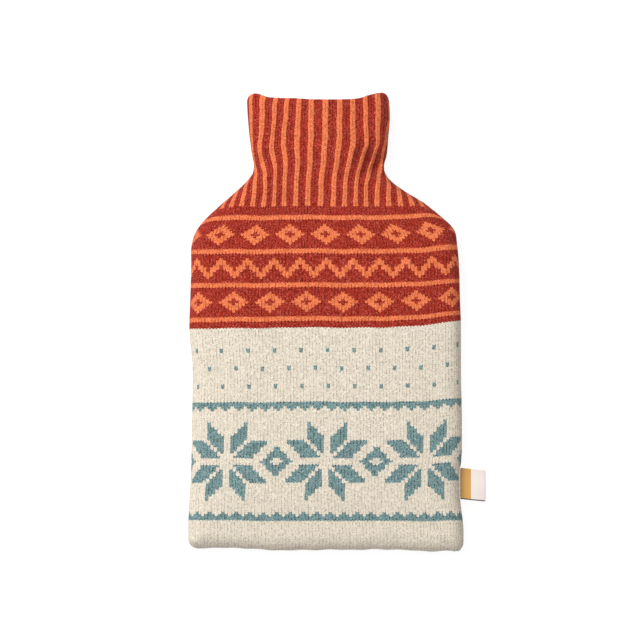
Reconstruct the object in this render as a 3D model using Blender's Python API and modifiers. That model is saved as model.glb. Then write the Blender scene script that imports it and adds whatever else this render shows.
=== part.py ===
"""A knitted cover for a hot water bottle, lying on its back.

Metres, +Z up, +Y from the hem to the neck, +X to the side with the label. The origin is the middle of the
back, on the surface that the cover lies on. In the tables and functions below, x is as in the model and a
height is counted along the cover, upwards from the hem.

Two knitted panels meet edge to edge along their sides and hem. The front curves down and the back curves up
to this seam, and the ribbed neck is open at the top, where the bottle goes in.
"""

import math
from typing import NamedTuple

import bmesh
import bpy
import numpy as np
from mathutils import Vector, geometry

MM = 0.001

# Driving dimensions
LENGTH = 359 * MM  # hem to the tip of the right neck corner
ORIGIN_HEIGHT = LENGTH / 2
CLOTH = 3 * MM  # thickness of the felted double knit
SEAM_LEVEL = 15 * MM  # the side seam above the surface
SEAM_GAP = 0.3 * MM  # between the edges of the two panels
SEAM_WALL = 1 * MM  # upright strip of each panel next to the seam
FRONT_ROLL = 15 * MM  # radius of the front's turned edge
BACK_ROLL = SEAM_LEVEL - SEAM_GAP / 2 - SEAM_WALL  # so that the back lies flat on the surface
ROLL_POWER = 2.5  # 2 is a round edge, and more is a squarer one
HEM_CORNER = 6.5 * MM  # radius of the two lower corners
HEM_FADE = 40 * MM  # the hem's slant is gone at this height
MOUTH_CORNER = 6 * MM  # radius of the two neck corners

# How far the front swells above its turned edge
BODY_SWELL = 2.5 * MM
BODY_TOP = 275 * MM
NECK_SWELL = 4 * MM
NECK_START = 262 * MM
SWELL_EDGE = 45 * MM  # from the seam to the full swell

# Two-by-two ribs of the neck
RIB_PITCH = 10.4 * MM
RIB_RELIEF = 0.8 * MM
RIB_START = 268 * MM
RIB_GATHER = 10 * MM  # the ribs reach their full relief over this height
RIB_EDGE = 5 * MM  # and over this distance from the seam
RIB_WRAP = 300 * MM  # above this height the mesh follows the ribs down over the turned edge

# Spacing of the mesh
SEAM_STEP = 6.5 * MM
FIELD_STEP = 17 * MM
RIB_ROW_STEP = 9 * MM
RIB_COLUMNS = 4  # in each repeat
ROLL_ANGLES = (26, 45, 65, 90)  # degrees around the turned edge
MOUTH_CORNER_SHARES = (0.12, 0.4)  # points on the rounding of the mouth's corners
CROWDED = 0.4  # a point nearer than this share of the step is left out
ON_SEAM = 0.01 * MM

# Folded label in the right side seam
LABEL_HEIGHT = 52.7 * MM
LABEL_WIDTH = 23.7 * MM
LABEL_REACH = 20 * MM
LABEL_RIBBON = 0.5 * MM
LABEL_LOOP = 0.6 * MM  # between its two layers
LABEL_DROOP = 3 * MM
LABEL_SLANT = 0.1  # towards the hem, for each metre of reach
LABEL_LAP = 0.9 * MM  # by which the lower layer shows below the upper one
LABEL_STEPS = 8
LABEL_TURN_STEPS = 6
LABEL_ROWS = 6


class Station(NamedTuple):
    """Where the two side seams are at one height, from the middle line."""

    height: float
    left: float
    right: float


class EdgePoint(NamedTuple):
    """Height of the hem or the mouth at one place."""

    x: float
    height: float


class RibRow(NamedTuple):
    """Where seven ridges and a furrow of the neck cross one height, and the repeats past the outer ridges."""

    height: float
    past_left: float
    left_outer: float
    left: float
    left_inner: float
    right_inner: float
    right: float
    right_pinched: float
    right_furrow: float
    right_outer: float
    past_right: float


class Crease(NamedTuple):
    """A soft trough of the front, along a line from (x, height) to (x, height)."""

    start: tuple
    end: tuple
    half_width: float
    depth: float


def in_metres(row_type, rows):
    """Named rows of a table that is written in millimetres."""
    return [row_type(*(value * MM for value in row)) for row in rows]


SIDES = in_metres(
    Station,
    (
        (0, 108.0, 108.0),
        (15, 108.2, 108.0),
        (36, 107.4, 105.8),
        (44, 106.9, 105.0),
        (61, 105.9, 105.0),
        (70, 105.7, 106.2),
        (100, 105.2, 106.8),
        (140, 104.6, 106.0),
        (176, 107.3, 106.0),
        (196, 106.6, 105.2),
        (224, 105.8, 104.4),
        (240, 105.4, 102.9),
        (252, 100.9, 100.3),
        (263, 91.4, 88.9),
        (273, 80.2, 76.1),
        (282, 70.0, 61.3),
        (289, 62.6, 51.8),
        (296, 57.4, 46.4),
        (301, 56.5, 45.5),
        (310, 58.0, 47.7),
        (322, 59.7, 48.8),
        (340, 61.4, 50.2),
        (353, 62.0, 49.6),
        (360, 62.0, 49.2),
    ),
)

HEM = in_metres(EdgePoint, ((-108, 1.6), (-68, 1.4), (-50, 0.2), (58, 0.0), (70, -0.7), (108, -0.8)))

MOUTH = in_metres(
    EdgePoint,
    (
        (-62, 358.0),
        (-55, 358.2),
        (-50, 356.8),
        (-46, 355.2),
        (-40, 354.6),
        (-25, 354.3),
        (-9, 353.4),
        (18, 353.6),
        (25, 354.2),
        (30, 355.5),
        (36, 357.4),
        (42, 358.5),
        (50, 359.0),
    ),
)

RIB_COUNTS = (-5, -3, -1, 1, 3, 4, 4.5, 5)  # repeats from the ridge in the middle
RIBS_BEYOND = 4  # repeats that the table is carried on for, past each side
ALL_COUNTS = (RIB_COUNTS[0] - RIBS_BEYOND, *RIB_COUNTS, RIB_COUNTS[-1] + RIBS_BEYOND)
RIB_ROWS = in_metres(
    RibRow,
    (
        (269, 8.7, -48.9, -32.8, -14.2, 6.1, 23.6, 31.7, 35.9, 40.1, 9.4),
        (284, 8.4, -47.4, -32.7, -14.0, 6.4, 23.8, 31.2, 35.8, 40.2, 8.8),
        (295, 7.8, -48.0, -32.4, -13.7, 6.9, 25.0, 33.4, 37.8, 41.3, 9.0),
        (302, 7.4, -49.8, -32.2, -13.0, 7.8, 26.9, 35.4, 39.5, 42.7, 9.2),
        (309, 7.2, -51.5, -32.3, -12.5, 9.1, 29.3, 37.9, 41.4, 44.3, 9.6),
        (314, 7.0, -52.3, -32.9, -12.3, 9.7, 31.2, 39.4, 42.7, 45.4, 10.0),
        (318, 7.2, -52.2, -33.5, -12.1, 10.1, 32.4, 40.8, 44.0, 46.4, 10.2),
        (326, 8.8, -50.8, -33.5, -11.9, 10.6, 31.9, 40.5, 44.8, 47.8, 10.4),
        (340, 10.0, -49.8, -31.6, -11.8, 10.7, 31.4, 41.0, 46.1, 50.2, 10.4),
        (350, 10.4, -49.9, -31.0, -11.6, 11.1, 31.3, 40.8, 45.9, 50.2, 10.4),
        (357, 10.4, -48.0, -29.6, -11.2, 11.4, 31.2, 40.6, 45.7, 50.2, 10.4),
    ),
)

CREASES = (
    Crease((41 * MM, 302 * MM), (32 * MM, 306 * MM), 13 * MM, 11.0 * MM),
    Crease((38 * MM, 299 * MM), (29 * MM, 295 * MM), 7 * MM, 4.0 * MM),
    Crease((40 * MM, 303 * MM), (20 * MM, 318 * MM), 8 * MM, 2.2 * MM),
    Crease((-58 * MM, 298 * MM), (-42 * MM, 308 * MM), 11 * MM, 4.5 * MM),
    Crease((-28 * MM, 297 * MM), (26 * MM, 294 * MM), 12 * MM, 1.2 * MM),
    Crease((-56 * MM, 359 * MM), (-44 * MM, 353 * MM), 7 * MM, 3.5 * MM),
)


def curve_through(xs, ys, x):
    """Smooth curve through the points (xs, ys), read at x. It turns only where the points do."""
    xs, ys, x = np.asarray(xs, float), np.asarray(ys, float), np.asarray(x, float)
    step = np.diff(xs)
    slope = np.diff(ys) / step
    tangent = np.concatenate([slope[:1], (slope[:-1] + slope[1:]) / 2, slope[-1:]])
    tangent[np.concatenate([[False], slope[:-1] * slope[1:] <= 0, [False]])] = 0
    x = np.clip(x, xs[0], xs[-1])
    i = np.clip(np.searchsorted(xs, x, side="right") - 1, 0, len(step) - 1)
    t = (x - xs[i]) / step[i]
    bend = tangent[i] * t * (1 - t) ** 2 - tangent[i + 1] * t * t * (1 - t)
    return ys[i] * (1 + 2 * t) * (1 - t) ** 2 + ys[i + 1] * t * t * (3 - 2 * t) + step[i] * bend


def ease(t):
    """0 below 0, 1 above 1, and a smooth rise between."""
    t = np.clip(t, 0, 1)
    return t * t * (3 - 2 * t)


def side_seam(side, height):
    """Distance of the "left" or "right" side seam from the middle line."""
    return curve_through([s.height for s in SIDES], [getattr(s, side) for s in SIDES], height)


def hem_rise(x):
    return curve_through([p.x for p in HEM], [p.height for p in HEM], x)


def mouth_height(x):
    """Height of the neck's open edge, rounded off at its two corners."""
    x = np.asarray(x, float)
    straight = curve_through([p.x for p in MOUTH], [p.height for p in MOUTH], x)
    into_left = (MOUTH_CORNER - side_seam("left", LENGTH) - x) / MOUTH_CORNER
    into_right = (x - side_seam("right", LENGTH) + MOUTH_CORNER) / MOUTH_CORNER
    into_corner = np.clip(np.maximum(into_left, into_right), 0, 1)
    return straight - MOUTH_CORNER * (1 - np.sqrt(1 - into_corner**2))


def half_seam(side, sign):
    """Seam from the neck's corner down one side and around the hem's corner, as rows of (x, height)."""
    top = float(mouth_height(sign * side_seam(side, LENGTH)))
    heights = np.linspace(top, HEM_CORNER, round((top - HEM_CORNER) / SEAM_STEP) + 1)
    turn = np.radians(np.linspace(0, 90, 4)[1:])
    across = np.concatenate(
        [side_seam(side, heights), side_seam(side, 0) - HEM_CORNER * (1 - np.cos(turn))]
    )
    heights = np.concatenate([heights, HEM_CORNER * (1 - np.sin(turn))])
    return np.column_stack([sign * across, heights])


def seam_line():
    """The whole seam seen from above: down the left side, along the hem and up the right side."""
    left, right = half_seam("left", -1), half_seam("right", 1)[::-1]
    hem_length = right[0, 0] - left[-1, 0]
    hem_x = np.linspace(left[-1, 0], right[0, 0], round(hem_length / SEAM_STEP) + 1)[1:-1]
    line = np.concatenate([left, np.column_stack([hem_x, np.zeros_like(hem_x)]), right])
    line[:, 1] += hem_rise(line[:, 0]) * ease(1 - line[:, 1] / HEM_FADE)
    return line


def distance_to(line, points):
    """Distance of each point to a line of straight pieces."""
    start, step = line[:-1], np.diff(line, axis=0)
    reach = points[:, None] - start[None]
    share = np.clip((reach * step).sum(2) / (step**2).sum(1), 0, 1)
    return np.linalg.norm(reach - share[:, :, None] * step, axis=2).min(axis=1)


def inset(line, amount):
    """The line's points moved into the cover, without those that come too near another stretch of it."""
    along = np.gradient(line, axis=0)
    inward = np.column_stack([-along[:, 1], along[:, 0]]) / np.linalg.norm(along, axis=1)[:, None]
    moved = line + amount * inward
    return moved[distance_to(line, moved) > 0.97 * amount]


def past_mouth(line):
    """The seam line with both its ends carried on upwards past the mouth."""
    beyond = (0, MOUTH_CORNER + CLOTH)
    return np.vstack([line[0] + beyond, line, line[-1] + beyond])


def ridge_lines(height):
    """Where the ridges of RIB_COUNTS and one beyond each end cross the panel at a height or heights."""
    heights, *columns = zip(*RIB_ROWS)
    past_left, *lines, past_right = (curve_through(heights, column, height) for column in columns)
    return np.array([lines[0] - RIBS_BEYOND * past_left, *lines, lines[-1] + RIBS_BEYOND * past_right])


def flank_points(height):
    """Where the flanks of all ridges cross the panel at one height."""
    counts = np.arange(ALL_COUNTS[0], ALL_COUNTS[-1], 1 / RIB_COLUMNS) + 0.5 / RIB_COLUMNS
    return np.interp(counts, ALL_COUNTS, ridge_lines(height))


def rib_relief(x, height, from_seam):
    """How far the knit stands up at the places (x, height): each repeat is half ridge and half furrow."""
    lines = ridge_lines(height).T
    count = np.array([np.interp(place, line, ALL_COUNTS) for place, line in zip(x, lines)])
    off_ridge = np.abs(count - np.round(count))
    ridge = np.clip(1.5 - RIB_COLUMNS * off_ridge, 0, 1)
    return RIB_RELIEF * ridge * ease((height - RIB_START) / RIB_GATHER) * ease(from_seam / RIB_EDGE - 1)


def swell(x, height, from_seam):
    """How far the front stands above its turned edge, with the creases taken off."""
    body = BODY_SWELL * ease(height / SWELL_EDGE) * ease((BODY_TOP - height) / SWELL_EDGE)
    neck = NECK_SWELL * ease((height - NECK_START) / SWELL_EDGE)
    rise = (body + neck) * ease(from_seam / SWELL_EDGE)
    for crease in CREASES:
        start, along = np.array(crease.start), np.subtract(crease.end, crease.start)
        reach = np.column_stack([x, height]) - start
        share = np.clip(reach @ along / (along @ along), 0, 1)
        off = np.linalg.norm(reach - share[:, None] * along, axis=1)
        rise -= crease.depth * (1 - share / 2) * ease(1 - off / crease.half_width)
    return rise


def turned_edge(from_seam, roll):
    """Rise of the turned edge above the wall at the seam."""
    return roll * (1 - np.clip(1 - from_seam / roll, 0, 1) ** ROLL_POWER) ** (1 / ROLL_POWER)


def front_surface(points, line):
    """Outer surface of the front at the points (x, height)."""
    from_seam = distance_to(line, points)
    x, height = points.T
    turned = turned_edge(from_seam, FRONT_ROLL)
    bent = (swell(x, height, from_seam) + rib_relief(x, height, from_seam)) * turned / FRONT_ROLL
    return SEAM_LEVEL + SEAM_GAP / 2 + SEAM_WALL + turned + bent


def back_surface(points, line):
    """Outer surface of the back at the points (x, height): flat on the surface inside its turned edge."""
    return SEAM_LEVEL - SEAM_GAP / 2 - SEAM_WALL - turned_edge(distance_to(line, points), BACK_ROLL)


def thinned(points, step, taken):
    """The points that are not crowded by the ones already taken."""
    kept = taken
    for point in points:
        if np.linalg.norm(kept - point, axis=1).min() > CROWDED * step:
            kept = np.vstack([kept, point])
    return kept


def rib_points(line):
    """Rows of points on the flanks of the neck's ribs."""
    rows = np.arange(RIB_START, LENGTH, RIB_ROW_STEP)
    points = np.array([(x, height) for height in rows for x in flank_points(height)])
    x, height = points.T
    below_mouth = height < mouth_height(x) - RIB_ROW_STEP / 3
    between_seams = (x > -side_seam("left", height)) & (x < side_seam("right", height))
    clear_of_seam = distance_to(line, points) > np.where(height > RIB_WRAP, RIB_EDGE, FRONT_ROLL)
    return points[below_mouth & between_seams & clear_of_seam]


def field_points(line, roll, top):
    """A loose lattice of points over the part of the panel below a height."""
    across = np.arange(-1, 1.01, 2 * FIELD_STEP / (side_seam("left", 0) + side_seam("right", 0)))
    found = []
    for height in np.arange(FIELD_STEP, top, FIELD_STEP):
        reach = np.where(across < 0, side_seam("left", height), side_seam("right", height))
        found.extend(np.column_stack([across * reach, np.full_like(across, height)]))
    points = np.array(found)
    return points[distance_to(line, points) > roll + CROWDED * FIELD_STEP]


def mouth_line(line, ribbed, roll):
    """Points along the mouth from the right corner to the left one, without the seam's ends."""
    left, right = line[0, 0], line[-1, 0]
    corner = MOUTH_CORNER * np.array(MOUTH_CORNER_SHARES)
    between = flank_points(MOUTH[0].height) if ribbed else np.arange(left + roll / 2, right, FIELD_STEP / 2)
    between = between[(between > left + RIB_EDGE) & (between < right - RIB_EDGE)]
    x = np.concatenate([left + corner, between, right - corner[::-1]])[::-1]
    return np.column_stack([x, mouth_height(x)])


def triangulated(rim, inner):
    """Triangles inside the rim that use the inner points too."""
    places = [Vector(point) for point in np.vstack([rim, inner])]
    inside_constraints = 1
    flat, _, faces, *_ = geometry.delaunay_2d_cdt(
        places, [], [list(range(len(rim)))], inside_constraints, ON_SEAM
    )
    return np.array([tuple(place) for place in flat]), faces


def panel_mesh(name, ribbed, roll, surface):
    """The outer skin of a panel, down to its seam."""
    line = seam_line()
    rim = np.vstack([line, mouth_line(line, ribbed, roll)])
    points = thinned(rib_points(line), RIB_PITCH / RIB_COLUMNS, rim) if ribbed else rim
    for angle in ROLL_ANGLES:
        amount = roll * (1 - math.cos(math.radians(angle)))
        ring = inset(line, amount)
        ring = ring[ring[:, 1] < mouth_height(ring[:, 0]) - CROWDED * SEAM_STEP]
        if ribbed and amount > RIB_EDGE:
            ring = ring[ring[:, 1] < RIB_WRAP]
        points = thinned(ring, SEAM_STEP / 2, points)
    points = thinned(field_points(line, roll, RIB_START if ribbed else LENGTH), FIELD_STEP, points)
    flat, faces = triangulated(rim, points[len(rim) :])

    mesh = bmesh.new()
    levels = surface(flat, past_mouth(line))
    corners = [mesh.verts.new((x, height - ORIGIN_HEIGHT, z)) for (x, height), z in zip(flat, levels)]
    on_seam = {corner for corner, near in zip(corners, distance_to(line, flat) < ON_SEAM) if near}
    for face in faces:
        mesh.faces.new([corners[i] for i in face])
    seam_edges = [e for e in mesh.edges if e.is_boundary and on_seam.issuperset(e.verts)]
    wall = bmesh.ops.extrude_edge_only(mesh, edges=seam_edges)["geom"]
    to_seam = math.copysign(SEAM_WALL, SEAM_LEVEL - levels.mean())
    wall_corners = [corner for corner in wall if isinstance(corner, bmesh.types.BMVert)]
    bmesh.ops.translate(mesh, verts=wall_corners, vec=(0, 0, to_seam))
    if to_seam > 0:
        bmesh.ops.reverse_faces(mesh, faces=mesh.faces)
    data = bpy.data.meshes.new(name)
    mesh.to_mesh(data)
    mesh.free()
    return data


def material(name, colour, roughness):
    """A cloth finish without metal."""
    made = bpy.data.materials.new(name)
    made.use_nodes = True
    shader = made.node_tree.nodes["Principled BSDF"]
    shader.inputs["Base Color"].default_value = (*colour, 1)
    shader.inputs["Roughness"].default_value = roughness
    shader.inputs["Metallic"].default_value = 0
    return made


def add_cloth(collection, data, finish, thickness):
    """An object whose skin gets the cloth's thickness on its inner side."""
    cloth = bpy.data.objects.new(data.name, data)
    data.materials.append(finish)
    data.shade_smooth()
    collection.objects.link(cloth)
    solid = cloth.modifiers.new("Cloth", "SOLIDIFY")
    solid.thickness = thickness
    solid.offset = -1
    solid.use_quality_normals = True
    return cloth


def label_mesh():
    """A ribbon folded around its outer end: out along the lower layer, round, and back along the upper one."""
    skin = LABEL_LOOP / 2 + LABEL_RIBBON
    straight = LABEL_REACH - skin
    out = np.linspace(0, straight, LABEL_STEPS + 1)
    turn = np.radians(np.linspace(-90, 90, LABEL_TURN_STEPS + 1)[1:-1])
    reach = np.concatenate([out, straight + skin * np.cos(turn), out[::-1]])
    side = np.concatenate([np.full_like(out, -skin), skin * np.sin(turn), np.full_like(out, skin)])
    mesh = bmesh.new()
    bmesh.ops.create_grid(mesh, x_segments=len(reach) - 1, y_segments=LABEL_ROWS, size=0.5)
    tip_x = float(side_seam("right", LABEL_HEIGHT)) + SEAM_GAP + LABEL_REACH
    for corner in mesh.verts:
        i = round((corner.co.x + 0.5) * (len(reach) - 1))
        share = reach[i] / LABEL_REACH
        lap = LABEL_LAP * np.interp(i, (0, LABEL_STEPS, LABEL_STEPS + LABEL_TURN_STEPS), (1, 1, 0))
        height = LABEL_HEIGHT + corner.co.y * LABEL_WIDTH - LABEL_SLANT * reach[i] - lap
        seam_x = float(side_seam("right", height)) + SEAM_GAP
        level = SEAM_LEVEL + side[i] - LABEL_DROOP * share**2
        corner.co = (seam_x + share * (tip_x - seam_x), height - ORIGIN_HEIGHT, level)
    bmesh.ops.reverse_faces(mesh, faces=mesh.faces)
    data = bpy.data.meshes.new("side_label")
    mesh.to_mesh(data)
    mesh.free()
    return data


def clear_scene():
    for thing in list(bpy.data.objects):
        bpy.data.objects.remove(thing)


def main():
    clear_scene()
    cover = bpy.data.collections.new("hot_water_bottle_cover")
    bpy.context.scene.collection.children.link(cover)
    add_cloth(
        cover,
        panel_mesh("front_panel", True, FRONT_ROLL, front_surface),
        material("knitted front", (0.66, 0.34, 0.22), 0.95),
        CLOTH,
    )
    add_cloth(
        cover,
        panel_mesh("back_panel", False, BACK_ROLL, back_surface),
        material("knitted back", (0.75, 0.69, 0.57), 0.95),
        CLOTH,
    )
    add_cloth(cover, label_mesh(), material("label ribbon", (0.85, 0.72, 0.62), 0.7), LABEL_RIBBON)


main()
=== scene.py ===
"""Looks of a knitted cover for a hot water bottle: its stitches, its label and the studio that it lies in.

Metres, in the frame's axes: +Z up, +Y from the hem to the neck, +X to the side with the label. In tables and
functions, x is as in the model and a height is counted along the cover, upwards from the hem.

A panel's knit is laid out flat in wales and courses first. It is then settled on the panel: the wales follow
the ribs of the neck and the side edges of the body, and the outermost stitches roll down to the seam.
"""

import logging
import math
from dataclasses import dataclass
from enum import Enum
from typing import NamedTuple, Union

import bpy
import numpy as np
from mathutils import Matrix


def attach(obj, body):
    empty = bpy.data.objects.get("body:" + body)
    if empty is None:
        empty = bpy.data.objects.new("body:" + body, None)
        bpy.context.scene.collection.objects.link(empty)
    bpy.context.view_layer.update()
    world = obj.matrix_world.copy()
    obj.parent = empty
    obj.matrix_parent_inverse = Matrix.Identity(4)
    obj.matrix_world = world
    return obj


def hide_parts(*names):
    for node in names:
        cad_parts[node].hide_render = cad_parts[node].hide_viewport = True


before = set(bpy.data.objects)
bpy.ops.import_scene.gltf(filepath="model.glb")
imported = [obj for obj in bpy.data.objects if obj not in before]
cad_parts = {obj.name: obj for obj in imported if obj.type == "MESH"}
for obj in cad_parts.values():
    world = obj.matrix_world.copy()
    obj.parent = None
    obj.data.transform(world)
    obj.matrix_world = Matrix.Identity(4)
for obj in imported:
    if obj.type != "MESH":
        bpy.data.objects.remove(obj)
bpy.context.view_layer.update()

MM = 0.001
log = logging.getLogger("cover")

# The cover's form, as in the solids
LENGTH = 359 * MM
ORIGIN_HEIGHT = LENGTH / 2
CLOTH = 3 * MM
SEAM_LEVEL = 15 * MM
SEAM_GAP = 0.3 * MM
SEAM_WALL = 1 * MM
FRONT_ROLL = 15 * MM
BACK_ROLL = SEAM_LEVEL - SEAM_GAP / 2 - SEAM_WALL
ROLL_POWER = 2.5  # 2 is a round edge, and more is a squarer one
HEM_CORNER = 6.5 * MM
HEM_FADE = 40 * MM
MOUTH_CORNER = 6 * MM
BODY_SWELL = 2.5 * MM
BODY_TOP = 275 * MM
NECK_SWELL = 4 * MM
NECK_START = 262 * MM
SWELL_EDGE = 45 * MM
RIB_RELIEF = 0.8 * MM
RIB_START = 268 * MM
RIB_GATHER = 10 * MM
RIB_EDGE = 5 * MM

# What only this finer model has
SNAP = 0.3 * MM  # what lies this close to the seam is on it
HEM_RIPPLE = 0.2 * MM
FURROW_PLACE = (41 * MM, 303 * MM)  # where the ribs are squeezed together and their furrows are deepest
FURROW_REACH = 26 * MM
FURROW_DEPTH = 3.2 * MM

# The knit
WALE = 2.6 * MM
RIB_WALES = 4  # two of one colour and two of the other
HALF_REPEATS = 11  # rib repeats from the middle of a panel to its side edge
COLUMNS = 4  # mesh columns in each wale: edge, leg, middle, leg
BODY_COURSES = 104
YOKE_COURSES = 54
NECK_COURSES = 49
SPARE_REPEATS = 1  # of the lattice past each side edge, to be cut off
SPARE_COURSES = 2  # past the hem
RIM_HEIGHT = 356 * MM
STRETCH_FADE = 30 * MM
LEFT_STRETCH = 0.3  # of the neck's side edges, which take up less knit than the body's
RIGHT_STRETCH = 0.65
PINCH_HEIGHT = 296 * MM  # of the narrowest part of the neck
PINCH_REACH = 16 * MM
PINCH_STRETCH = 0.25  # on top of the neck's
YOKE_HEIGHT = 240 * MM  # above this height the wales draw in towards the ribs
MOUTH_FADE = 300 * MM  # above this height the courses start to follow the mouth's curve
STITCH_SHAPE = 0.677  # height of a stitch for its width
RIB_PINCH = 0.2  # share by which the middle of an orange rib is narrower than its pitch


class Station(NamedTuple):
    """Where the two side seams are at one height, from the middle line."""

    height: float
    left: float
    right: float


class EdgePoint(NamedTuple):
    """Height of the hem or the mouth at one place."""

    x: float
    height: float


class RibRow(NamedTuple):
    """Where seven ribs and a furrow cross one height, seen from above, and the repeats past the ribs."""

    height: float
    past_left: float
    left_outer: float
    left: float
    left_inner: float
    right_inner: float
    right: float
    right_pinched: float
    right_furrow: float
    right_outer: float
    past_right: float


class LiftRow(NamedTuple):
    """How far the courses at one height rise above their level in the middle."""

    height: float
    left_edge: float
    left: float
    right: float
    right_edge: float


class Crease(NamedTuple):
    """A soft trough of the front, along a line from (x, height) to (x, height)."""

    start: tuple
    end: tuple
    half_width: float
    depth: float


class Ripple(NamedTuple):
    """One of the waves that make the hem's edge uneven."""

    pace: float  # millimetres for each radian
    phase: float
    share: float  # of HEM_RIPPLE


def in_metres(row_type: type, *rows: tuple) -> list:
    """Named rows of a table that is written in millimetres."""
    return [row_type(*(value * MM for value in row)) for row in rows]


SIDES = in_metres(
    Station,
    (0, 108.0, 108.0),
    (15, 108.2, 108.0),
    (36, 107.4, 105.8),
    (44, 106.9, 105.0),
    (61, 105.9, 105.0),
    (70, 105.7, 106.2),
    (100, 105.2, 106.8),
    (140, 104.6, 106.0),
    (176, 107.3, 106.0),
    (196, 106.6, 105.2),
    (224, 105.8, 104.4),
    (240, 105.4, 102.9),
    (252, 100.9, 100.3),
    (263, 91.4, 88.9),
    (273, 80.2, 76.1),
    (282, 70.0, 61.3),
    (289, 62.6, 51.8),
    (296, 57.4, 46.4),
    (301, 56.5, 45.5),
    (310, 58.0, 47.7),
    (322, 59.7, 48.8),
    (340, 61.4, 50.2),
    (353, 62.0, 49.6),
    (360, 62.0, 49.2),
)

HEM = in_metres(EdgePoint, (-108, 1.6), (-68, 1.4), (-50, 0.2), (58, 0.0), (70, -0.7), (108, -0.8))

MOUTH = in_metres(
    EdgePoint,
    (-62, 358.0),
    (-55, 358.2),
    (-50, 356.8),
    (-46, 355.2),
    (-40, 354.6),
    (-25, 354.3),
    (-9, 353.4),
    (18, 353.6),
    (25, 354.2),
    (30, 355.5),
    (36, 357.4),
    (42, 358.5),
    (50, 359.0),
)

RIB_COUNTS = (-5, -3, -1, 1, 3, 4, 4.5, 5)  # repeats from the rib in the middle
RIB_ROWS = in_metres(
    RibRow,
    (269, 8.7, -48.9, -32.8, -14.2, 6.1, 23.6, 31.7, 35.9, 40.1, 9.4),
    (284, 8.4, -47.4, -32.7, -14.0, 6.4, 23.8, 31.2, 35.8, 40.2, 8.8),
    (295, 7.8, -48.0, -32.4, -13.7, 6.9, 25.0, 33.4, 37.8, 41.3, 9.0),
    (302, 9.6, -49.8, -32.2, -13.0, 7.8, 26.9, 35.4, 39.5, 42.7, 9.2),
    (309, 9.2, -51.5, -32.3, -12.5, 9.1, 29.3, 37.9, 41.4, 44.3, 9.6),
    (314, 8.7, -52.3, -32.9, -12.3, 9.7, 31.2, 39.4, 42.7, 45.4, 10.0),
    (318, 8.7, -52.2, -33.5, -12.1, 10.1, 32.4, 40.8, 44.0, 46.4, 10.2),
    (326, 10.3, -50.8, -33.5, -11.9, 10.6, 31.9, 40.5, 44.8, 47.8, 10.4),
    (340, 10.6, -49.8, -31.6, -11.8, 10.7, 31.4, 41.0, 46.1, 50.2, 10.4),
    (350, 10.6, -49.9, -31.0, -11.6, 11.1, 31.3, 40.8, 45.9, 50.2, 10.4),
    (357, 10.6, -48.0, -29.6, -11.2, 11.4, 31.2, 40.6, 45.7, 50.2, 10.4),
)

LIFT_PLACES = (-107 * MM, -60 * MM, 0, 45 * MM, 75 * MM, 107 * MM)
LIFT_ROWS = in_metres(
    LiftRow,
    (0, 0.0, 0.0, 0.0, 0.0),
    (90, -0.6, 0.0, 0.6, 2.5),
    (140, -1.0, -0.2, 0.8, 3.0),
    (174, -1.2, -0.2, 1.8, 5.2),
    (186, -1.4, -0.2, 1.5, 4.2),
    (200, -0.8, 0.0, 1.4, 3.8),
    (216, -0.6, 0.0, 0.9, 2.8),
    (231, -0.6, 0.0, 0.9, 3.0),
    (247, -0.8, 0.0, 2.2, 6.0),
    (262, -0.5, 0.0, 1.6, 4.0),
    (280, 0.0, 0.0, 0.2, 0.5),
    (300, 0.0, 0.0, 0.0, 0.0),
)

CREASES = (
    Crease((41 * MM, 302 * MM), (32 * MM, 306 * MM), 13 * MM, 11.0 * MM),
    Crease((38 * MM, 299 * MM), (29 * MM, 295 * MM), 7 * MM, 4.0 * MM),
    Crease((40 * MM, 303 * MM), (20 * MM, 318 * MM), 8 * MM, 2.2 * MM),
    Crease((-58 * MM, 298 * MM), (-42 * MM, 308 * MM), 11 * MM, 4.5 * MM),
    Crease((-28 * MM, 297 * MM), (26 * MM, 294 * MM), 12 * MM, 1.2 * MM),
    Crease((-56 * MM, 359 * MM), (-44 * MM, 353 * MM), 7 * MM, 3.5 * MM),
)

HEM_RIPPLES = (Ripple(2.9, 1, 1), Ripple(4.7, 0, 1), Ripple(9.3, 2, 0.8))

Numbers = np.ndarray | list | tuple | float


def curve_through(xs: Numbers, ys: Numbers, x: Numbers) -> np.ndarray:
    """Smooth curve through the points (xs, ys), read at x.

    Args:
        xs: rising places of the points.
        ys: their values.
        x: where the curve is read.

    Returns:
        The values at x. The curve turns only where the points do.
    """
    xs, ys, x = np.asarray(xs, float), np.asarray(ys, float), np.asarray(x, float)
    step = np.diff(xs)
    slope = np.diff(ys) / step
    tangent = np.concatenate([slope[:1], (slope[:-1] + slope[1:]) / 2, slope[-1:]])
    tangent[np.concatenate([[False], slope[:-1] * slope[1:] <= 0, [False]])] = 0
    x = np.clip(x, xs[0], xs[-1])
    i = np.clip(np.searchsorted(xs, x, side="right") - 1, 0, len(step) - 1)
    t = (x - xs[i]) / step[i]
    bend = tangent[i] * t * (1 - t) ** 2 - tangent[i + 1] * t * t * (1 - t)
    return ys[i] * (1 + 2 * t) * (1 - t) ** 2 + ys[i + 1] * t * t * (3 - 2 * t) + step[i] * bend


def ease(t: Numbers) -> np.ndarray:
    """0 below 0, 1 above 1, and a smooth rise between."""
    t = np.clip(t, 0, 1)
    return t * t * (3 - 2 * t)


def between(places: tuple, lines: np.ndarray, at: np.ndarray) -> np.ndarray:
    """Reads a different straight-pieced line for each value.

    Args:
        places: rising places that all lines share.
        lines: one row for each place, one column for each value of at.
        at: where each line is read.

    Returns:
        One value for each of at.
    """
    places = np.asarray(places, float)
    i = np.clip(np.searchsorted(places, at, side="right") - 1, 0, len(places) - 2)
    t = (at - places[i]) / (places[i + 1] - places[i])
    columns = np.arange(len(at))
    return lines[i, columns] * (1 - t) + lines[i + 1, columns] * t


# ---------------------------------------------------------------- shader sums

Socket = bpy.types.NodeSocket
Amount = Union["Wire", float]
Colour = Socket | tuple


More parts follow.
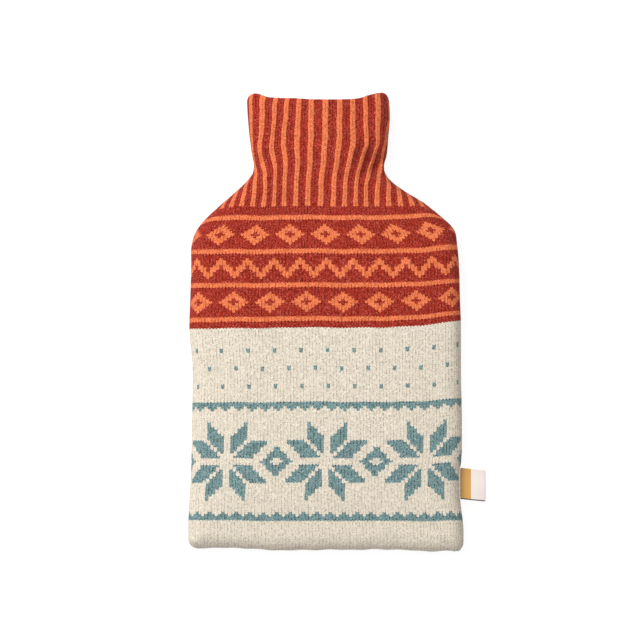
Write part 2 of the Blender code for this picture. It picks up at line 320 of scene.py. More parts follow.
class Wire:
    """A socket of a material that is used like a number."""

    def __init__(self, bench: "Bench", socket: Socket) -> None:
        """Keeps the socket and the bench that makes nodes behind it."""
        self.bench = bench
        self.socket = socket

    def _sum(self, operation: str, *values: Amount) -> "Wire":
        """A Math node on these values."""
        made = self.bench.node("ShaderNodeMath", {"operation": operation}, dict(enumerate(values)))
        return Wire(self.bench, made.outputs[0])

    def __add__(self, other: Amount) -> "Wire":
        """self + other."""
        return self._sum("ADD", self, other)

    def __radd__(self, other: Amount) -> "Wire":
        """other + self."""
        return self._sum("ADD", other, self)

    def __sub__(self, other: Amount) -> "Wire":
        """self - other."""
        return self._sum("SUBTRACT", self, other)

    def __rsub__(self, other: Amount) -> "Wire":
        """other - self."""
        return self._sum("SUBTRACT", other, self)

    def __mul__(self, other: Amount) -> "Wire":
        """self * other."""
        return self._sum("MULTIPLY", self, other)

    def __rmul__(self, other: Amount) -> "Wire":
        """other * self."""
        return self._sum("MULTIPLY", other, self)

    def __abs__(self) -> "Wire":
        """Distance from 0."""
        return self._sum("ABSOLUTE", self)

    def fraction(self) -> "Wire":
        """What is left above the whole number below."""
        return self._sum("FRACT", self)

    def whole(self) -> "Wire":
        """The whole number below."""
        return self._sum("FLOOR", self)

    def power(self, exponent: float) -> "Wire":
        """self to a power."""
        return self._sum("POWER", self, exponent)

    def spread(self, low: float, high: float, to_low: float = 0, to_high: float = 1) -> "Wire":
        """Smooth step.

        Args:
            low: where it starts.
            high: where it ends.
            to_low: its value at low.
            to_high: its value at high.

        Returns:
            The step's value for self.
        """
        sockets = {"Value": self, "From Min": low, "From Max": high, "To Min": to_low, "To Max": to_high}
        made = self.bench.node("ShaderNodeMapRange", {"interpolation_type": "SMOOTHSTEP"}, sockets)
        return Wire(self.bench, made.outputs["Result"])


class Bench:
    """Makes one material, node by node."""

    def __init__(self, name: str) -> None:
        """Starts the material with its Principled shader.

        Args:
            name: the material's name.
        """
        self.material = bpy.data.materials.new(name)
        self.material.use_nodes = True
        self.tree = self.material.node_tree
        self.shader = self.tree.nodes["Principled BSDF"]

    def node(self, kind: str, settings: dict | None = None, sockets: dict | None = None) -> bpy.types.Node:
        """Makes a node.

        Args:
            kind: the node's type.
            settings: its own properties, set first.
            sockets: a value, a Wire or a socket for each input, by name or place.

        Returns:
            The node.
        """
        made = self.tree.nodes.new(kind)
        for name, value in (settings or {}).items():
            setattr(made, name, value)
        for key, value in (sockets or {}).items():
            self.plug(made.inputs[key], value)
        return made

    def plug(self, place: Socket, value: object) -> None:
        """Links or sets an input.

        Args:
            place: the input.
            value: a Wire or a socket that is linked to it, or its new value.
        """
        source = value.socket if isinstance(value, Wire) else value
        if isinstance(source, bpy.types.NodeSocket):
            self.tree.links.new(source, place)
        else:
            place.default_value = source

    def wire(self, node: bpy.types.Node, output: str | int = 0) -> Wire:
        """An output that is used like a number."""
        return Wire(self, node.outputs[output])

    def finish(self, **sockets: object) -> bpy.types.Material:
        """Sets the shader's sockets.

        Args:
            sockets: a value for each, with _ for the spaces in its name.

        Returns:
            The material.
        """
        for name, value in sockets.items():
            self.plug(self.shader.inputs[name.replace("_", " ")], value)
        return self.material

    def parts(self, where: Socket) -> list:
        """The three numbers of a place."""
        split = self.node("ShaderNodeSeparateXYZ", None, {0: where})
        return [self.wire(split, i) for i in range(3)]

    def noise(self, where: Socket, scale: float, detail: float = 2, roughness: float = 0.5) -> Wire:
        """Soft noise around 0.5, with its number of lumps in a metre."""
        sockets = {"Vector": where, "Scale": scale, "Detail": detail, "Roughness": roughness}
        return self.wire(self.node("ShaderNodeTexNoise", None, sockets), "Fac")

    def blend(self, share: Amount, first: Colour, second: Colour, kind: str = "MIX") -> Socket:
        """A colour mixed from two others."""
        settings = {"data_type": "RGBA", "blend_type": kind}
        return self.node("ShaderNodeMix", settings, {"Factor": share, 6: first, 7: second}).outputs[2]

    def scaled(self, colour: Colour, amount: Amount) -> Socket:
        """A colour made lighter or darker."""
        sockets = {0: colour, "Scale": amount}
        return self.node("ShaderNodeVectorMath", {"operation": "SCALE"}, sockets).outputs[0]

    def bump(self, height: Amount, distance: float, strength: float, below: Socket | None = None) -> Socket:
        """A normal that leans with a height, on top of another normal."""
        sockets = {"Height": height, "Distance": distance, "Strength": strength}
        return self.node("ShaderNodeBump", None, sockets | ({"Normal": below} if below else {})).outputs[0]


# ---------------------------------------------------------------- finishes

WHITE_CARD = 1.3  # how bright a white card lies in the studio's light


def linear(*seen: int) -> tuple:
    """Colour of a surface that looks like these red, green and blue levels, from 0 to 255, in the studio."""
    shares = [level / 255 for level in seen]
    return tuple((s / 12.92 if s <= 0.04045 else ((s + 0.055) / 1.055) ** 2.4) / WHITE_CARD for s in shares)


@dataclass(frozen=True)
class Yarn:
    """Dyed wool: its colour and how mottled it is."""

    colour: tuple
    heather: float


class Dye(Enum):
    """The yarns of the cover."""

    CREAM = Yarn(linear(229, 218, 200), 0.20)
    TEAL = Yarn(linear(120, 150, 151), 0.6)
    RUST = Yarn(linear(166, 41, 22), 0.52)
    ORANGE = Yarn(linear(237, 123, 74), 0.36)


class Strength(NamedTuple):
    """How strong an effect is on plain wool, and how much stronger on wholly mottled wool."""

    plain: float
    mottled: float

    def on(self, heather: Wire) -> Wire:
        """The strength on wool that is mottled so much."""
        return self.plain + self.mottled * heather


@dataclass(frozen=True)
class FeltedKnit:
    """Felted wool knit: soft stitches, mottled yarn, and a matt, slightly fuzzy face."""

    roughness: float = 0.95
    sheen: float = 0.03
    sheen_roughness: float = 0.6
    gloss: float = 0.1
    fibre_scale: float = 2600
    grain_scale: float = 1150
    fleck_scale: float = 700
    cloud_scale: float = 60
    grain_tone: Strength = Strength(1.1, 3.2)
    fibre_tone: Strength = Strength(0.3, 1)
    cloud_tone: float = 0.03
    fleck_dark: float = 0.25
    # painted shade in the low gaps between the legs of the stitches
    gap_painted_shade: Strength = Strength(0.08, 0.2)
    dot_dark: Strength = Strength(0.08, 0.35)
    dot_deep: Strength = Strength(0.35, 0.5)  # towards a deeper colour of the same yarn
    pale_fibre: tuple = (0.62, 0.54, 0.48, 1)
    pale_share: float = 0.32
    stitch_bump: float = 0.35 * MM
    stitch_bump_share: float = 0.55
    fuzz_bump: float = 0.5 * MM
    fuzz_bump_share: float = 0.5

    def material(self, name: str) -> bpy.types.Material:
        """Makes the material, which reads the stitches' map and the colour of each stitch, and paints shade
        into the gaps between the stitches' legs.

        Args:
            name: its name.

        Returns:
            The material.
        """
        bench = Bench(name)
        place = bench.node("ShaderNodeTexCoord").outputs["Object"]
        across, along, _ = bench.parts(bench.node("ShaderNodeUVMap", {"uv_map": "stitches"}).outputs[0])
        yarn = bench.node("ShaderNodeAttribute", {"attribute_name": "yarn"})
        heather = bench.wire(yarn, "Alpha")

        from_middle = abs(across.fraction() - 0.5) * 2
        leg = 1 - abs(from_middle - 0.5) * 2
        swell = 1 - (along.fraction() * 2 - 1).power(2)
        strand = leg.spread(0, 0.9) * (0.55 + 0.45 * swell)
        # gap is where the legs are low; it is darkened below as painted shade
        gap = 1 - strand.spread(0.05, 0.65)
        dot = from_middle.spread(0.4, 0.85) * swell * self.chance(bench, across, along).spread(0.25, 0.8)

        grain = bench.noise(place, self.grain_scale, 3, 0.65) - 0.5
        fibre = bench.noise(place, self.fibre_scale, 2, 0.6) - 0.5
        cloud = bench.noise(place, self.cloud_scale) - 0.5
        fleck = bench.noise(place, self.fleck_scale, 1).spread(0.66, 0.76)
        tone = 1 + self.grain_tone.on(heather) * grain + self.fibre_tone.on(heather) * fibre
        tone = tone + self.cloud_tone * cloud
        shade = tone * (1 - gap * self.gap_painted_shade.on(heather)) * (1 - dot * self.dot_dark.on(heather))
        colour = bench.scaled(yarn.outputs["Color"], shade * (1 - fleck * self.fleck_dark))
        colour = bench.blend(dot * self.dot_deep.on(heather), colour, colour, "MULTIPLY")
        colour = bench.blend(grain.spread(0, 0.3, 0, self.pale_share) * (1 - dot), colour, self.pale_fibre)

        relief = bench.bump(strand + fibre * 0.5, self.stitch_bump, self.stitch_bump_share)
        return bench.finish(
            Base_Color=colour,
            Roughness=self.roughness,
            Sheen_Weight=self.sheen,
            Sheen_Roughness=self.sheen_roughness,
            Specular_IOR_Level=self.gloss,
            Normal=bench.bump(grain + fibre, self.fuzz_bump, self.fuzz_bump_share, relief),
        )

    @staticmethod
    def chance(bench: Bench, across: Wire, along: Wire) -> Wire:
        """Draws a number for each place where two stitches of a course meet.

        Args:
            bench: the material's bench.
            across: the stitches' map, in wales.
            along: the same, in courses.

        Returns:
            The number, from 0 to 1.
        """
        cell = bench.node("ShaderNodeCombineXYZ", None, {0: (across + 0.5).whole(), 1: along.whole()})
        sockets = {"Vector": cell.outputs[0]}
        return bench.wire(bench.node("ShaderNodeTexWhiteNoise", {"noise_dimensions": "2D"}, sockets), 0)


@dataclass(frozen=True)
class SatinRibbon:
    """Woven ribbon with a faint sheen, one plain band at its seam end, and an inner face dark with painted
    shadow.
    """

    ground: tuple = (*linear(240, 228, 221), 1)
    band: tuple = (*linear(216, 163, 80), 1)
    # painted shadow: the colour of the fold's inner face
    painted_shadow: tuple = linear(92, 80, 76)
    thread_pitch: float = 0.28 * MM
    thread_bump: float = 0.05 * MM
    thread_bump_share: float = 0.6
    band_end: float = 8.5 * MM  # from the seam
    band_blur: float = 0.1 * MM
    grain_scale: float = 2500
    streak_scale: float = 1800

    def back(self, name: str) -> bpy.types.Material:
        """Makes the material of the fold's inner face, dark as painted shadow, which shows as a thin strip
        below the upper layer.

        Args:
            name: its name.

        Returns:
            The material.
        """
        bench = Bench(name)
        streak = bench.noise(self.place(bench), self.streak_scale)
        return bench.finish(Base_Color=bench.scaled(self.painted_shadow, 0.7 + 0.6 * streak), Roughness=0.8)

    def material(self, name: str) -> bpy.types.Material:
        """Makes the material of the face, whose map is in metres along and across the ribbon.

        Args:
            name: its name.

        Returns:
            The material.
        """
        bench = Bench(name)
        place = self.place(bench)
        along, across, _ = bench.parts(place)
        warp, weft = (abs((way * (1 / self.thread_pitch)).fraction() - 0.5) for way in (across, along))
        thread = 1 - warp - weft
        grain = bench.noise(place, self.grain_scale) - 0.5
        band = along.spread(self.band_end + self.band_blur, self.band_end - self.band_blur)
        colour = bench.blend(band, self.ground, self.band)
        colour = bench.scaled(colour, 0.95 + 0.08 * thread + 0.12 * grain)
        normal = bench.bump(thread, self.thread_bump, self.thread_bump_share)
        return bench.finish(Base_Color=colour, Roughness=0.6 - 0.1 * thread, Sheen_Weight=0.1, Normal=normal)

    @staticmethod
    def place(bench: Bench) -> Socket:
        """Where each point is on the ribbon."""
        return bench.node("ShaderNodeUVMap", {"uv_map": "ribbon"}).outputs[0]


@dataclass(frozen=True)
class PaleFloor:
    """The studio's plain white floor, lit from below as a light table is."""

    colour: tuple = (0.15, 0.15, 0.15)
    glow: float = 0.9

    def material(self, name: str) -> bpy.types.Material:
        """The floor's material."""
        return Bench(name).finish(
            Base_Color=(*self.colour, 1),
            Roughness=0.9,
            Specular_IOR_Level=0.1,
            Emission_Color=(1, 1, 1, 1),
            Emission_Strength=self.glow,
        )


# ---------------------------------------------------------------- the chart


class Motif(Enum):
    """What a band of the chart shows."""

    PLAIN = "plain"
    STRIPE = "stripe"
    DIAMONDS = "diamonds"
    ZIGZAG = "zigzag"
    STARS = "stars"
    TEETH_UP = "teeth up"
    TEETH_DOWN = "teeth down"
    SEEDS = "seeds"


class Band(NamedTuple):
    """Some courses of the chart, counted upwards."""

    motif: Motif
    courses: int
    shift: int = 0  # wales


class Zone(NamedTuple):
    """Bands that share a ground and a figure colour, from the lowest to the highest."""

    ground: Dye
    figure: Dye
    bands: tuple


@dataclass(frozen=True)
class Chart:
    """Which yarn each stitch of a panel is knitted in. The motifs are traditional small repeats."""

    zones: tuple  # from the hem upwards
    zigzag_repeat: int = 8  # wales, as all sizes that follow
    zigzag_line: float = 1.6
    diamond_repeat: int = 11
    diamond_size: float = 0.98  # share of the repeat
    diamond_hole: float = 0.25
    star_repeat: int = 30
    star_petal: float = 6.2
    star_gap: float = 0.7
    between_stars: float = 4.6
    between_line: float = 3
    tooth_repeat: int = 4
    seed_repeat: int = 8
    seed_courses: tuple = (3, 4)

    @staticmethod
    def from_middle(wale: np.ndarray, repeat: int) -> np.ndarray:
        """How far each wale is from the middle of its repeat."""
        return np.abs(wale % repeat - (repeat - 1) / 2)

    def shows_figure(self, band: Band, wale: np.ndarray, course: int) -> np.ndarray:
        """Where one course of a band is in the figure colour.

        Args:
            band: the band.
            wale: numbers of the wales, with 0 just right of the middle.
            course: which of the band's courses.

        Returns:
            True for each wale in the figure colour.
        """
        wale = wale + band.shift
        up = course - (band.courses - 1) / 2
        if band.motif is Motif.DIAMONDS:
            off = self.from_middle(wale, self.diamond_repeat) / (self.diamond_repeat // 2 + 0.01)
            reach = off + np.abs(up) / (band.courses / 2)
            return (reach < self.diamond_size) & (reach > self.diamond_hole)
        if band.motif is Motif.ZIGZAG:
            half = self.zigzag_repeat // 2
            line = np.abs(wale % self.zigzag_repeat - half) * (band.courses - 3) / half + 1
            return np.abs(line - course) < self.zigzag_line
        if band.motif is Motif.STARS:
            return self.in_star(wale, abs(up) * STITCH_SHAPE)
        if band.motif in (Motif.TEETH_UP, Motif.TEETH_DOWN):
            level = course if band.motif is Motif.TEETH_UP else band.courses - 1 - course
            return np.abs(wale % self.tooth_repeat - 1) < self.tooth_repeat / 2 - level
        if band.motif is Motif.SEEDS:
            row, in_row = divmod(course, self.seed_repeat)
            first = (row % 2) * self.seed_repeat // 2
            return (in_row in self.seed_courses) & ((wale + first) % self.seed_repeat == 0)
        return np.full(wale.shape, band.motif is Motif.STRIPE)

    def in_star(self, wale: np.ndarray, rise: float) -> np.ndarray:
        """Eight petals around the middle of each repeat, and a small diamond between the stars.

        Args:
            wale: numbers of the wales.
            rise: distance from the band's middle course.

        Returns:
            True for each wale in a petal or a diamond.
        """
        across = self.from_middle(wale, self.star_repeat)
        first = np.minimum(across, rise)
        second = np.maximum(across, rise) - first
        petal = [(self.star_gap < part) & (part < self.star_petal) for part in (first, second)]
        reach = self.from_middle(wale + self.star_repeat // 2, self.star_repeat) + rise
        diamond = (reach < self.between_stars) & (reach > self.between_stars - self.between_line)
        return petal[0] & petal[1] | diamond

    def rows(self, wale: np.ndarray) -> list:
        """Works out the dyes of a panel.

        Args:
            wale: numbers of the wales.

        Returns:
            The dye of each wale, for each course from the hem to the mouth.
        """
        found = [[self.zones[0].ground] * len(wale)] * SPARE_COURSES
        for zone in self.zones:
            for band in zone.bands:
                for course in range(band.courses):
                    figure = self.shows_figure(band, wale, course)
                    found.append([zone.figure if shown else zone.ground for shown in figure])
        rib = [Dye.ORANGE if (w + 1) % RIB_WALES < RIB_WALES / 2 else Dye.RUST for w in wale]
        return found + [rib] * NECK_COURSES


def plain(courses: int) -> Band:
    """A band in the ground's colour."""
    return Band(Motif.PLAIN, courses)


LINE = Band(Motif.STRIPE, 2)
RULE = (plain(2), LINE, plain(2))
FLOWERS = (plain(3), Band(Motif.STARS, 39, 15), plain(3))
LOW_EDGE = (plain(18), LINE, Band(Motif.TEETH_UP, 2))
HIGH_EDGE = (Band(Motif.TEETH_DOWN, 2), LINE, plain(3), Band(Motif.SEEDS, 24), plain(6))
LOZENGES = (Band(Motif.DIAMONDS, 9), *RULE, Band(Motif.ZIGZAG, 9), *RULE, Band(Motif.DIAMONDS, 9, 5))

FRONT_CHART = Chart(
    (
        Zone(Dye.CREAM, Dye.TEAL, (*LOW_EDGE, *FLOWERS, *HIGH_EDGE)),
        Zone(Dye.RUST, Dye.ORANGE, (plain(1), *RULE, *LOZENGES, *RULE, plain(2))),
    )
)
BACK_CHART = Chart(
    (
        Zone(Dye.CREAM, Dye.TEAL, (plain(BODY_COURSES),)),
        Zone(Dye.RUST, Dye.ORANGE, (plain(YOKE_COURSES),)),
    )
)


# ---------------------------------------------------------------- the lie of the knit


@dataclass
class Outline:
    """The cover seen from above, with the seam carried straight on past the mouth."""

    step: float = 2 * MM  # length of the seam line's pieces
    beyond: float = 30 * MM  # how far the line goes on past the mouth
    turn_steps: int = 7  # around each corner of the hem
    group: int = 3000  # points whose way to the seam is worked out at one time

    def __post_init__(self) -> None:
        """Works out the seam line."""
        left, right = self.half_seam("left", -1), self.half_seam("right", 1)[::-1]
        hem_length = right[0, 0] - left[-1, 0]
        hem_x = np.linspace(left[-1, 0], right[0, 0], round(hem_length / self.step) + 1)[1:-1]
        self.line = np.concatenate([left, np.column_stack([hem_x, np.zeros_like(hem_x)]), right])
        x, height = self.line.T
        self.line[:, 1] += self.hem_rise(x, height) + self.ripple(x, height)

    @staticmethod
    def ripple(x: np.ndarray, height: np.ndarray) -> np.ndarray:
        """Small uneven waves of the hem's edge."""
        waves = sum(wave.share * np.sin(x / MM / wave.pace + wave.phase) for wave in HEM_RIPPLES)
        return HEM_RIPPLE * waves * ease(1 - height / HEM_CORNER)

    @staticmethod
    def side(side: str, height: Numbers) -> np.ndarray:
        """Distance of the "left" or "right" seam from the middle line."""
        return curve_through([s.height for s in SIDES], [getattr(s, side) for s in SIDES], height)

    @classmethod
    def sides(cls, height: Numbers) -> tuple:
        """Distance of the left and of the right seam from the middle line."""
        return cls.side("left", height), cls.side("right", height)

    @staticmethod
    def hem_rise(x: Numbers, height: Numbers) -> np.ndarray:
        """How far the slant of the hem moves a place up."""
        return curve_through(*zip(*HEM), x) * ease(1 - height / HEM_FADE)

    @classmethod
    def mouth_height(cls, x: np.ndarray) -> np.ndarray:
        """Follows the neck's open edge, which is rounded off at its two corners.

        Args:
            x: places along the edge.

        Returns:
            The height of each.
        """
        left, right = cls.sides(LENGTH)
        into_corner = np.maximum(MOUTH_CORNER - left - x, x - right + MOUTH_CORNER) / MOUTH_CORNER
        round_off = 1 - np.sqrt(1 - np.clip(into_corner, 0, 1) ** 2)
        return curve_through(*zip(*MOUTH), x) - MOUTH_CORNER * round_off

    def half_seam(self, side: str, sign: int) -> np.ndarray:
        """Follows the seam down one side and around the hem's corner.

        Args:
            side: "left" or "right".
            sign: -1 for left and 1 for right.

        Returns:
            Rows of (x, height).
        """
        top = LENGTH + self.beyond
        heights = np.linspace(top, HEM_CORNER, round((top - HEM_CORNER) / self.step) + 1)
        turn = np.radians(np.linspace(0, 90, self.turn_steps + 1)[1:])
        corner = self.side(side, 0) - HEM_CORNER * (1 - np.cos(turn))
        across = np.concatenate([self.side(side, heights), corner])
        heights = np.concatenate([heights, HEM_CORNER * (1 - np.sin(turn))])
        return np.column_stack([sign * across, heights])

    def nearest(self, points: np.ndarray) -> tuple:
        """Finds the place on the seam that is nearest to each point.

        Args:
            points: rows of (x, height).

        Returns:
            The distance inside the seam, the place on the seam and the way out of the cover.
        """
        start, step = self.line[:-1], np.diff(self.line, axis=0)
        length = np.linalg.norm(step, axis=1)
        inward = np.column_stack([-step[:, 1], step[:, 0]]) / length[:, None]
        parts = []
        for group in np.array_split(points, max(1, len(points) // self.group)):
            reach = group[:, None] - start[None]
            share = np.clip((reach * step).sum(2) / length**2, 0, 1)
            apart = reach - share[:, :, None] * step
            best = (apart**2).sum(2).argmin(1)
            parts.append((apart[np.arange(len(group)), best], inward[best]))
        apart, inward = (np.concatenate(column) for column in zip(*parts))
        gap = np.linalg.norm(apart, axis=1)
        sign = np.where((apart * inward).sum(1) < 0, -1, 1)
        away = -(sign / np.maximum(gap, 1e-9))[:, None] * apart
        return sign * gap, points - apart, np.where(gap[:, None] > SNAP, away, -inward)


@dataclass
class Lie:
    """How a panel's knit lies: from a place on the flat knit to a place seen from above."""

    outline: Outline
    roll: float  # radius of the turned edge

    def __post_init__(self) -> None:
        """Works out how far the flat knit reaches past the seam seen from above, and how high a course is."""
        self.spare = (math.pi / 2 - 1) * self.roll
        self.course = (RIM_HEIGHT + self.spare) / (BODY_COURSES + YOKE_COURSES + NECK_COURSES)

    def wale_x(self, count: np.ndarray, height: np.ndarray) -> np.ndarray:
        """Finds where wales lie on the flat knit.

        Args:
            count: rib repeats from the middle of the panel.
            height: how far up each place is.

        Returns:
            The x of each place.
        """
        left, right = self.outline.sides(np.minimum(height, YOKE_HEIGHT))
        in_body = (right - left) / 2 + count / HALF_REPEATS * ((left + right) / 2 + self.spare)
        heights, *columns = zip(*RIB_ROWS)
        past_left, *seen, past_right = (curve_through(heights, column, height) for column in columns)
        ribs = [self.unrolled(place, height) for place in seen]
        past = HALF_REPEATS - RIB_COUNTS[-1]
        ribs = [ribs[0] - past * past_left, *ribs, ribs[-1] + past * past_right]
        pinch = RIB_PINCH * ease((height - RIB_START) / RIB_GATHER)
        count = count - pinch * np.sin(2 * math.pi * count) / (2 * math.pi)
        in_neck = between((-HALF_REPEATS, *RIB_COUNTS, HALF_REPEATS), np.array(ribs), count)
        share = ease((height - YOKE_HEIGHT) / (RIB_ROWS[0].height - YOKE_HEIGHT))
        return in_body * (1 - share) + in_neck * share

    def lift(self, x: np.ndarray, height: np.ndarray) -> np.ndarray:
        """Finds how far a course rises above its level in the middle of the panel.

        Args:
            x: places on the flat knit.
            height: how far up they are.

        Returns:
            The rise of each place.
        """
        heights, *columns = zip(*LIFT_ROWS)
        level = [0] * len(heights)
        columns[2:2] = [level, level]
        lines = [curve_through(heights, column, height) for column in columns]
        rows = between(LIFT_PLACES, np.array(lines), x)
        near_mouth = ease((height - MOUTH_FADE) / (RIM_HEIGHT - MOUTH_FADE))
        to_mouth = (self.outline.mouth_height(self.rolled(x, height)) - RIM_HEIGHT) * near_mouth
        return rows + to_mouth + self.outline.hem_rise(x, height)

    def rolled(self, x: np.ndarray, height: np.ndarray) -> np.ndarray:
        """Turns places on the flat knit to what is seen from above, between upright seams.

        Args:
            x: places on the flat knit.
            height: how far up they are.

        Returns:
            The x of each place seen from above.
        """
        left, right = self.outline.sides(height)
        inside = np.minimum(x + left, right - x)
        moved = self.from_seam(inside, x, height) - inside
        return np.where(x + left < right - x, x + moved, x - moved)

    def unrolled(self, x: np.ndarray, height: np.ndarray) -> np.ndarray:
        """Turns places seen from above to the flat knit, between upright seams.

        Args:
            x: places seen from above.
            height: how far up they are.

        Returns:
            The x of each place on the flat knit.
        """
        left, right = self.outline.sides(height)
        distance, reach = np.minimum(x + left, right - x), self.reach(x, height)
        share = np.arccos(np.clip(1 - distance / self.roll, 0, 1)) * 2 / math.pi
        moved = np.where(distance < self.roll, share * (self.roll + reach) - reach - distance, 0)
        return np.where(x + left < right - x, x + moved, x - moved)

    def reach(self, x: np.ndarray, height: np.ndarray) -> np.ndarray:
        """Finds how far the flat knit reaches past the seam. The neck's stretched edges reach less far.

        Args:
            x: places on the flat knit, or seen from above.
            height: how far up they are.

        Returns:
            The reach at each place's side.
        """
        stretch = np.where(x > 0, RIGHT_STRETCH, LEFT_STRETCH) * ease((height - RIB_START) / STRETCH_FADE)
        pinch = PINCH_STRETCH * ease(1 - np.abs(height - PINCH_HEIGHT) / PINCH_REACH)
        return self.spare * (1 - stretch - pinch)

    def from_seam(self, inside: np.ndarray, x: np.ndarray, height: np.ndarray) -> np.ndarray:
        """Turns distances inside the seam on the flat knit to what is seen from above.

        Args:
            inside: the distances, below 0 past the seam.
            x: places on the flat knit.
            height: how far up they are.

        Returns:
            Each place's distance from the seam, seen from above.
        """
        reach = self.reach(x, height)
        share = (inside + reach) / (self.roll + reach)
        turned = self.roll * (1 - np.cos(np.clip(share, 0, 1) * math.pi / 2))
        return np.where(share > 1, inside, np.where(share < SNAP / self.roll, 0, turned))

    def settle(self, count: np.ndarray, height: np.ndarray) -> tuple:
        """Lays places of the flat knit on the panel.

        Args:
            count: rib repeats from the middle of the panel.
            height: height on the flat knit.

        Returns:
            Rows of (x, height) seen from above, and each place's distance from the seam.
        """
        x = self.wale_x(count, height)
        flat = np.column_stack([x, height + self.lift(x, height)])
        inside, foot, outward = self.outline.nearest(flat)
        distance = self.from_seam(inside, *flat.T)
        return foot - outward * distance[:, None], distance


class Side(Enum):
    """The two faces of the cover."""

    FRONT = 1
    BACK = -1


def rib_relief(count: np.ndarray, x: np.ndarray, height: np.ndarray, distance: np.ndarray) -> np.ndarray:
    """Finds how far the orange ribs stand up from the rust ones.

    Args:
        count: rib repeats from the middle of the panel.
        x: places seen from above.
        height: how far up they are.
        distance: how far they are from the seam.

    Returns:
        The rise of each place, below 0 in the furrows.
    """
    ridge = np.clip(1.5 - 4 * np.abs(count - np.round(count)), 0, 1)
    apart = np.hypot(x - FURROW_PLACE[0], height - FURROW_PLACE[1])
    relief = RIB_RELIEF * ridge - FURROW_DEPTH * (1 - ridge) * ease(1 - apart / FURROW_REACH)
    return relief * ease((height - RIB_START) / RIB_GATHER) * ease(distance / RIB_EDGE - 1)


def swell(x: np.ndarray, height: np.ndarray, distance: np.ndarray) -> np.ndarray:
    """Finds how far the front stands above its turned edge, with the creases taken off.

    Args:
        x: places seen from above.
        height: how far up they are.
        distance: how far they are from the seam.

    Returns:
        The rise of each place.
    """
    body = BODY_SWELL * ease(height / SWELL_EDGE) * ease((BODY_TOP - height) / SWELL_EDGE)
    neck = NECK_SWELL * ease((height - NECK_START) / SWELL_EDGE)
    rise = (body + neck) * ease(distance / SWELL_EDGE)
    for crease in CREASES:
        start, along = np.array(crease.start), np.subtract(crease.end, crease.start)
        reach = np.column_stack([x, height]) - start
        share = np.clip(reach @ along / (along @ along), 0, 1)
        off = np.linalg.norm(reach - share[:, None] * along, axis=1)
        rise -= crease.depth * (1 - share / 2) * ease(1 - off / crease.half_width)
    return rise


# ---------------------------------------------------------------- modelling


def deselect() -> None:
    """Leaves object mode with nothing selected."""
    if bpy.context.object and bpy.context.object.mode != "OBJECT":
        bpy.ops.object.mode_set(mode="OBJECT")
    bpy.ops.object.select_all(action="DESELECT")


def read(
    collection: bpy.types.bpy_prop_collection, name: str, width: int = 1, kind: type = np.float32
) -> np.ndarray:
    """Reads a property of all vertices, edges, faces or corners.

    Args:
        collection: what has the property.
        name: its name.
        width: how many numbers it has.
        kind: what they are.

    Returns:
        A number for each, or a row of them.
    """
    values = np.empty(len(collection) * width, kind)
    collection.foreach_get(name, values)
    return values.reshape(-1, width) if width > 1 else values


def write(collection: bpy.types.bpy_prop_collection, name: str, values: np.ndarray) -> None:
    """Sets a property of all vertices or corners."""
    collection.foreach_set(name, values.astype(np.float32).ravel())


class Corners:
    """The corners of a mesh's faces."""

    def __init__(self, mesh: bpy.types.Mesh) -> None:
        """Reads each corner's vertex, where each face starts, and which corners are on the inner side.

        Args:
            mesh: the mesh.
        """
        self.vertex = read(mesh.loops, "vertex_index", 1, np.int32)
        names = ("loop_start", "loop_total", "material_index")
        self.start, self.total, slot = (read(mesh.polygons, name, 1, np.int32) for name in names)
        self.inner = np.repeat(slot == 1, self.total)


def grid(name: str, columns: int, rows: int) -> tuple:
    """Makes a flat grid.

    Args:
        name: the object's name.
        columns: how many faces it has across.
        rows: how many it has upwards.

    Returns:
        The object, and the column and the row of each vertex.
    """
    deselect()
    bpy.ops.mesh.primitive_grid_add(x_subdivisions=columns, y_subdivisions=rows, size=2, calc_uvs=False)
    piece = bpy.context.object
    piece.name = piece.data.name = name
    at = (read(piece.data.vertices, "co", 3) + 1) / 2
    return piece, np.round(at[:, 0] * columns), np.round(at[:, 1] * rows)


def solidify(piece: bpy.types.Object, thickness: float, even: bool) -> None:
    """Thickens a sheet away from its outer face. The new face gets the second material.

    Args:
        piece: the sheet.
        thickness: its new thickness.
        even: True for the slower normals that keep it the same at tight bends.
    """
    solid = piece.modifiers.new("Thickness", "SOLIDIFY")
    solid.thickness, solid.offset, solid.material_offset = thickness, -1, 1
    solid.use_quality_normals = even
    bpy.ops.object.modifier_apply(modifier=solid.name)


def edit_selected(piece: bpy.types.Object, kind: str, chosen: np.ndarray) -> None:
    """Enters edit mode with only these vertices, edges or faces selected.

    Args:
        piece: the object.
        kind: VERT, EDGE or FACE.
        chosen: True for each that is selected.
    """
    mesh = piece.data
    for part in (mesh.vertices, mesh.edges, mesh.polygons):
        part.foreach_set("select", np.zeros(len(part), bool))
    parts = {"VERT": mesh.vertices, "EDGE": mesh.edges, "FACE": mesh.polygons}
    parts[kind].foreach_set("select", chosen)
    bpy.context.view_layer.objects.active = piece
    bpy.context.tool_settings.mesh_select_mode = [kind == name for name in parts]
    bpy.ops.object.mode_set(mode="EDIT")


